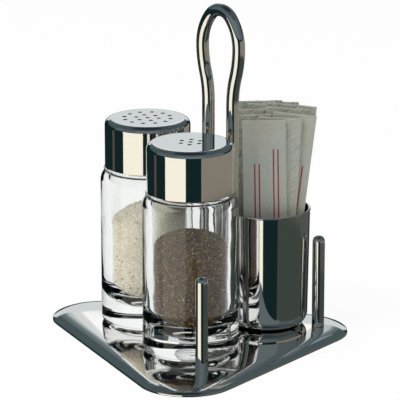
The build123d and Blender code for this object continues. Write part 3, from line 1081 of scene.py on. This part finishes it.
SALT_STOPS = (
    (0.0, "#A8987A"), (0.03, "#EADFCC"), (0.3, "#F4ECDD"), (0.62, "#FAF4E8"), (0.9, "#E0D4BE")
)
PEPPER_STOPS = (
    (0.0, "#120D07"), (0.17, "#3E2C16"), (0.36, "#74562A"), (0.62, "#94733C"),
    (0.87, "#AE8D52"), (0.97, "#CDB682"),
)
SALT = grain_material("crystal_salt", SALT_STOPS, 0.35)
PEPPER = grain_material("ground_pepper", PEPPER_STOPS, 0.7)
# painted shade: the packed form between the grains is coloured darker than the grains
SHADED_PACKED_SALT = shaded_packed_material("shaded_packed_salt", "#D2C8B4", "#EAE2D2", SALT_GRAIN)
SHADED_PACKED_PEPPER = shaded_packed_material("shaded_packed_pepper", "#2A1E0E", "#6A5028", PEPPER_GRAIN)
print("salt and pepper mixed")

# %% Salt heap and pepper heap
SALT_SQUASH = ((0.62, 0.9), (0.62, 0.9), (0.62, 0.9))
PEPPER_SQUASH = ((0.7, 1.2), (0.5, 0.9), (0.3, 0.6))
make_grains(
    "salt_grains", FILL_FORMS["salt"], "salt_fill", "salt_shaker",
    SALT_GRAIN, CUBE, CUBE_FACES, SALT_SQUASH, 11, (SHADED_PACKED_SALT, SALT),
)
make_grains(
    "pepper_grains", FILL_FORMS["pepper"], "pepper_fill", "pepper_shaker",
    PEPPER_GRAIN, FLAKE, FLAKE_FACES, PEPPER_SQUASH, 12, (SHADED_PACKED_PEPPER, PEPPER),
)

# %% [markdown]
# ## Paper sachets
#
# Each toothpick comes in a flat sachet of thin coated paper, folded at its sides
# and pressed flat in a crimped seal at both ends. It isn't a stiff card: the
# picks inside raise two soft ridges, the paper cockles, and it crumples above
# the rim where hands take hold of it. One function makes a sachet as a closed
# sheet with a front and a back, on the plane that the frame's own sachet has.
# Bending that neighbours share comes from one noise field in the cup's space,
# so the papers nest and don't cut through each other.

# %% Sachet sizes
PAPER_WIDTH = 17.4
PAPER_LENGTH = 85.0
SEAM_HALF = 0.2
BULGE = 0.3
PICK_RIDGE = 0.14
PICK_OFFSET = 2.6
SEAL_LENGTH = 5.0
CRIMP_PITCH = 1.5
PAPER_ACROSS_STEPS = 44
PAPER_UP_STEPS = 120
CUP_AXIS = Vector((20.5, 31.1, 4.4))
SACHET_PITCH = 1.75
ACROSS = Vector((math.cos(PICTURE_TURN), math.sin(PICTURE_TURN), 0))
BACK = Vector((-ACROSS.y, ACROSS.x, 0))
UP = Vector((0, 0, 1))
SHIFTS = (-0.2, 0.3, 0.8, -1.5, 1.2, -2.0, 2.0, -1.0, 0.5, -0.6, 0.2)
LEANS = (-1.1, 3.0, 6.6, -2.0, 4.5, -3.2, 6.0, 1.0, 5.5, -1.5, 2.5)
RISES = (0.0, 0.5, 1.5, 1.0, 3.0, 2.2, 3.4, 3.8, 2.6, 4.0, 3.2)
RIM_LEVEL = 51.0
SEAL_EASE = 6
RIDGE_WIDTH = 1.1
COCKLE, CRIMP, WRINKLE = 0.07, 0.12, 0.10
print("sachets:", len(SHIFTS))

# %% Sachet shape


def paper_thickness(x, z):
    """Half of the sachet's thickness in mm: flat seals, a soft bulge, two ridges."""
    opened = SEAL_LENGTH + SEAL_EASE
    foot, head = [smooth_step(SEAL_LENGTH, opened, away) for away in (z, PAPER_LENGTH - z)]
    side = 1 - abs(2 * x / PAPER_WIDTH) ** 3
    picks = (-PICK_OFFSET, PICK_OFFSET)
    ridges = sum(math.exp(-(((x - pick) / RIDGE_WIDTH) ** 2)) for pick in picks)
    return SEAM_HALF + foot * head * side * (BULGE + PICK_RIDGE * ridges)


def shared_bend(place, above, crumple):
    """How far the papers bend together in mm, at a point of the cup's space."""
    across = place.dot(ACROSS)
    slow = noise.noise(Vector((across / 11, place.z / 17, 3.1)))
    fold = 1 - abs(2 * noise.noise(Vector((across / 6.5 + place.z / 9, place.z / 15, 8.4))))
    fine = noise.noise(Vector((across / 2.2, place.z / 4.5, 1.7)))
    return above * crumple * (0.55 * slow + 0.42 * (fold - 0.6) + 0.16 * fine)


def sachet_place(index):
    """The sachet's lowest middle point, its own sideways direction and its own up."""
    lean = math.radians(LEANS[index])
    lift = RISES[index] + PAPER_WIDTH / 2 * abs(math.sin(lean))
    origin = CUP_AXIS + BACK * (index - 5) * SACHET_PITCH + ACROSS * SHIFTS[index] + UP * lift
    side = ACROSS * math.cos(lean) - UP * math.sin(lean)
    rise = ACROSS * math.sin(lean) + UP * math.cos(lean)
    return origin, side, rise


def sachet_rows(build, index, face_sign, crumple):
    """Rows of points, from the foot up, of the sachet's front (-1) or back (1)."""
    origin, side, rise = sachet_place(index)
    rows = []
    for row in range(PAPER_UP_STEPS + 1):
        z = PAPER_LENGTH * row / PAPER_UP_STEPS
        seal = smooth_step(SEAL_LENGTH, SEAL_LENGTH - 1, min(z, PAPER_LENGTH - z))
        line = []
        for column in range(PAPER_ACROSS_STEPS + 1):
            x = PAPER_WIDTH * (column / PAPER_ACROSS_STEPS - 0.5)
            flat = origin + side * x + rise * z
            above = smooth_step(RIM_LEVEL - 2, RIM_LEVEL + 30, flat.z)
            bend = shared_bend(flat, above, crumple)
            cockle = COCKLE * noise.noise(Vector((x / 5, z / 8, index * 7.7)))
            crimp = CRIMP * seal * math.cos(math.tau * z / CRIMP_PITCH)
            thick = paper_thickness(x, z)
            wrinkle = WRINKLE * noise.noise(Vector((x / 1.6, z / 3.4, index * 3.3 + face_sign)))
            out = thick * face_sign + bend + cockle + crimp
            out += face_sign * wrinkle * (thick - SEAM_HALF) / BULGE * 0.7
            line.append(build.verts.new((flat + BACK * out) * MM))
        rows.append(line)
    return rows


# %% Sachet mesh


def paper_face(build, layer, corners):
    """One face from corners of (rows of a sheet, row, column), with its flat coordinates."""
    face = build.faces.new([rows[row][column] for rows, row, column in corners])
    for loop, (rows, row, column) in zip(face.loops, corners):
        loop[layer].uv = (column / PAPER_ACROSS_STEPS, row / PAPER_UP_STEPS)
    return face


def make_sachet(index, body, crumple, material):
    """A closed sachet: two sheets of points, joined by a narrow edge all round."""
    name = f"toothpick_sachet_{index + 1:02d}"
    build = bmesh.new()
    layer = build.loops.layers.uv.new("paper")
    front, back = [sachet_rows(build, index, face_sign, crumple) for face_sign in (-1, 1)]
    up, across = PAPER_UP_STEPS, PAPER_ACROSS_STEPS
    for rows in (front, back):
        for r in range(up):
            for c in range(across):
                corners = [(rows, r, c), (rows, r, c + 1), (rows, r + 1, c + 1), (rows, r + 1, c)]
                if rows is back:
                    corners.reverse()
                paper_face(build, layer, corners).smooth = True
    rim = [(0, c) for c in range(across)] + [(r, across) for r in range(up)]
    rim += [(up, c) for c in range(across, 0, -1)] + [(r, 0) for r in range(up, 0, -1)]
    for here, there in zip(rim, rim[1:] + rim[:1]):
        corners = [(front, *there), (front, *here), (back, *here), (back, *there)]
        paper_face(build, layer, corners)
    mesh = finish_mesh(build, name + "_paper")
    return place_piece(mesh.name, mesh, [material], body, name)


# %% [markdown]
# ## Paper and its print
#
# The paper is thin and coated. Its grey tone comes only a little from the wood
# inside showing through; the rest is painted shade, darker than white paper under
# light. Fibres clump at about a millimetre, which mottles the tone. The front two
# sachets carry plain red rules along their length. The rules come from the
# sheet's own flat coordinates, so they bend with the paper.

# %% Paper finish
RULE_RED = "#8A3038"
RULE_HALF = 0.28
FIBRE_CLUMP = 1.3 * MM
FIBRE_DEPTH = 0.03 * MM
STAIN_SIZE = 14 * MM
CREASE_SLANT = math.radians(-48)
CREASE_SIZE = (2.0, 8.0, 1.0)


def coated_paper(name, rules, crease):
    """rules: (mm across from the sheet's middle, top as a share of the length), or none."""
    material, tree, shader = new_material(name, {"Roughness": 0.55, "IOR": 1.5})
    space = grain_space(tree)
    clump = add_node(
        tree, "ShaderNodeTexNoise", {"Vector": space, "Scale": 1 / FIBRE_CLUMP, "Detail": 6.0}
    )
    slow = add_node(
        tree, "ShaderNodeTexNoise", {"Vector": space, "Scale": 1 / STAIN_SIZE, "Detail": 2.0}
    )
    # painted shade: grey paper tone, darker than white paper; a little of it is the wood showing
    # through
    tone = add_node(
        tree,
        "ShaderNodeMix",
        {0: clump.outputs["Fac"], 6: linear("#949A92"), 7: linear("#A9AEA4")},
        data_type="RGBA",
    )
    warm_share = add_node(
        tree,
        "ShaderNodeMapRange",
        {"Value": slow.outputs["Fac"], "From Min": 0.4, "From Max": 0.62, "To Max": 0.5},
    )
    warmed = add_node(
        tree,
        "ShaderNodeMix",
        {0: warm_share.outputs[0], 6: tone.outputs[2], 7: linear("#AAA392")},
        data_type="RGBA",
    )
    colour = warmed.outputs[2]
    sheet = add_node(tree, "ShaderNodeUVMap", uv_map="paper")
    if rules:
        axes = add_node(tree, "ShaderNodeSeparateXYZ", {0: sheet.outputs[0]})
        ink = 0.0
        for place, top in rules:
            centre = place / PAPER_WIDTH + 0.5
            below = add_node(
                tree, "ShaderNodeMath", {0: axes.outputs["Y"], 1: top}, operation="LESS_THAN"
            )
            away = add_node(
                tree, "ShaderNodeMath", {0: axes.outputs["X"], 1: centre}, operation="SUBTRACT"
            )
            size = add_node(tree, "ShaderNodeMath", {0: away.outputs[0]}, operation="ABSOLUTE")
            inked = add_node(
                tree,
                "ShaderNodeMath",
                {0: size.outputs[0], 1: RULE_HALF / PAPER_WIDTH},
                operation="LESS_THAN",
            )
            line = add_node(
                tree, "ShaderNodeMath", {0: inked.outputs[0], 1: below.outputs[0]},
                operation="MULTIPLY",
            )
            ink = add_node(tree, "ShaderNodeMath", {0: ink, 1: line.outputs[0]}, operation="ADD")
            ink = ink.outputs[0]
        mixed = add_node(
            tree, "ShaderNodeMix", {0: ink, 6: colour, 7: linear(RULE_RED)}, data_type="RGBA"
        )
        colour = mixed.outputs[2]
    in_mm = add_node(
        tree,
        "ShaderNodeMapping",
        {"Vector": sheet.outputs[0], "Scale": (PAPER_WIDTH, PAPER_LENGTH, 1)},
    )
    slanted = add_node(
        tree,
        "ShaderNodeMapping",
        {"Vector": in_mm.outputs[0], "Rotation": (0, 0, CREASE_SLANT), "Scale": CREASE_SIZE},
        vector_type="TEXTURE",
    )
    creases = add_node(
        tree,
        "ShaderNodeTexNoise",
        {"Vector": slanted.outputs[0], "Scale": 1.0, "Detail": 2.5, "Distortion": 0.5},
    )
    creased = add_node(
        tree, "ShaderNodeBump", {"Height": creases.outputs["Fac"], "Distance": crease}
    )
    bump = add_node(
        tree,
        "ShaderNodeBump",
        {"Height": clump.outputs["Fac"], "Distance": FIBRE_DEPTH, "Normal": creased.outputs[0]},
    )
    feed(shader, {"Base Color": colour, "Normal": bump.outputs[0]})
    return material


BARE_PAPER = coated_paper("coated_toothpick_paper", (), 1.1 * MM)
FRONT_RULES = ((-3.9, 0.79), (-2.1, 0.79), (3.6, 0.86), (5.4, 0.86))
SIDE_RULES = ((-0.4, 0.82), (1.4, 0.82), (3.8, 0.755), (5.6, 0.755))
FRONT_PAPER = coated_paper("coated_paper_front_rules", FRONT_RULES, 0.3 * MM)
SIDE_PAPER = coated_paper("coated_paper_side_rules", SIDE_RULES, 0.3 * MM)
print("paper mixed")

# %% Eleven sachets
OWN_BODIES = {0: ("front_sachet", FRONT_PAPER), 2: ("side_sachet", SIDE_PAPER)}
CRUMPLES = (0.12, 0.12, 0.12, 0.4, 0.8, 1.2, 1.4, 1.4, 1.4, 1.4, 1.4)
for index, crumple in enumerate(CRUMPLES):
    body, paper = OWN_BODIES.get(index, ("sachet_bundle", BARE_PAPER))
    sachet = make_sachet(index, body, crumple, paper)
    node_low, node_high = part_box(f"toothpick_sachet_{index + 1:02d}")
    made = [vertex.co for vertex in sachet.data.vertices]
    off = max(
        max(abs(min(point[axis] for point in made) - node_low[axis]),
            abs(max(point[axis] for point in made) - node_high[axis]))
        for axis in range(3)
    )
    print(sachet.name, "leaves its node's box by", round(off / MM, 2), "mm at most")
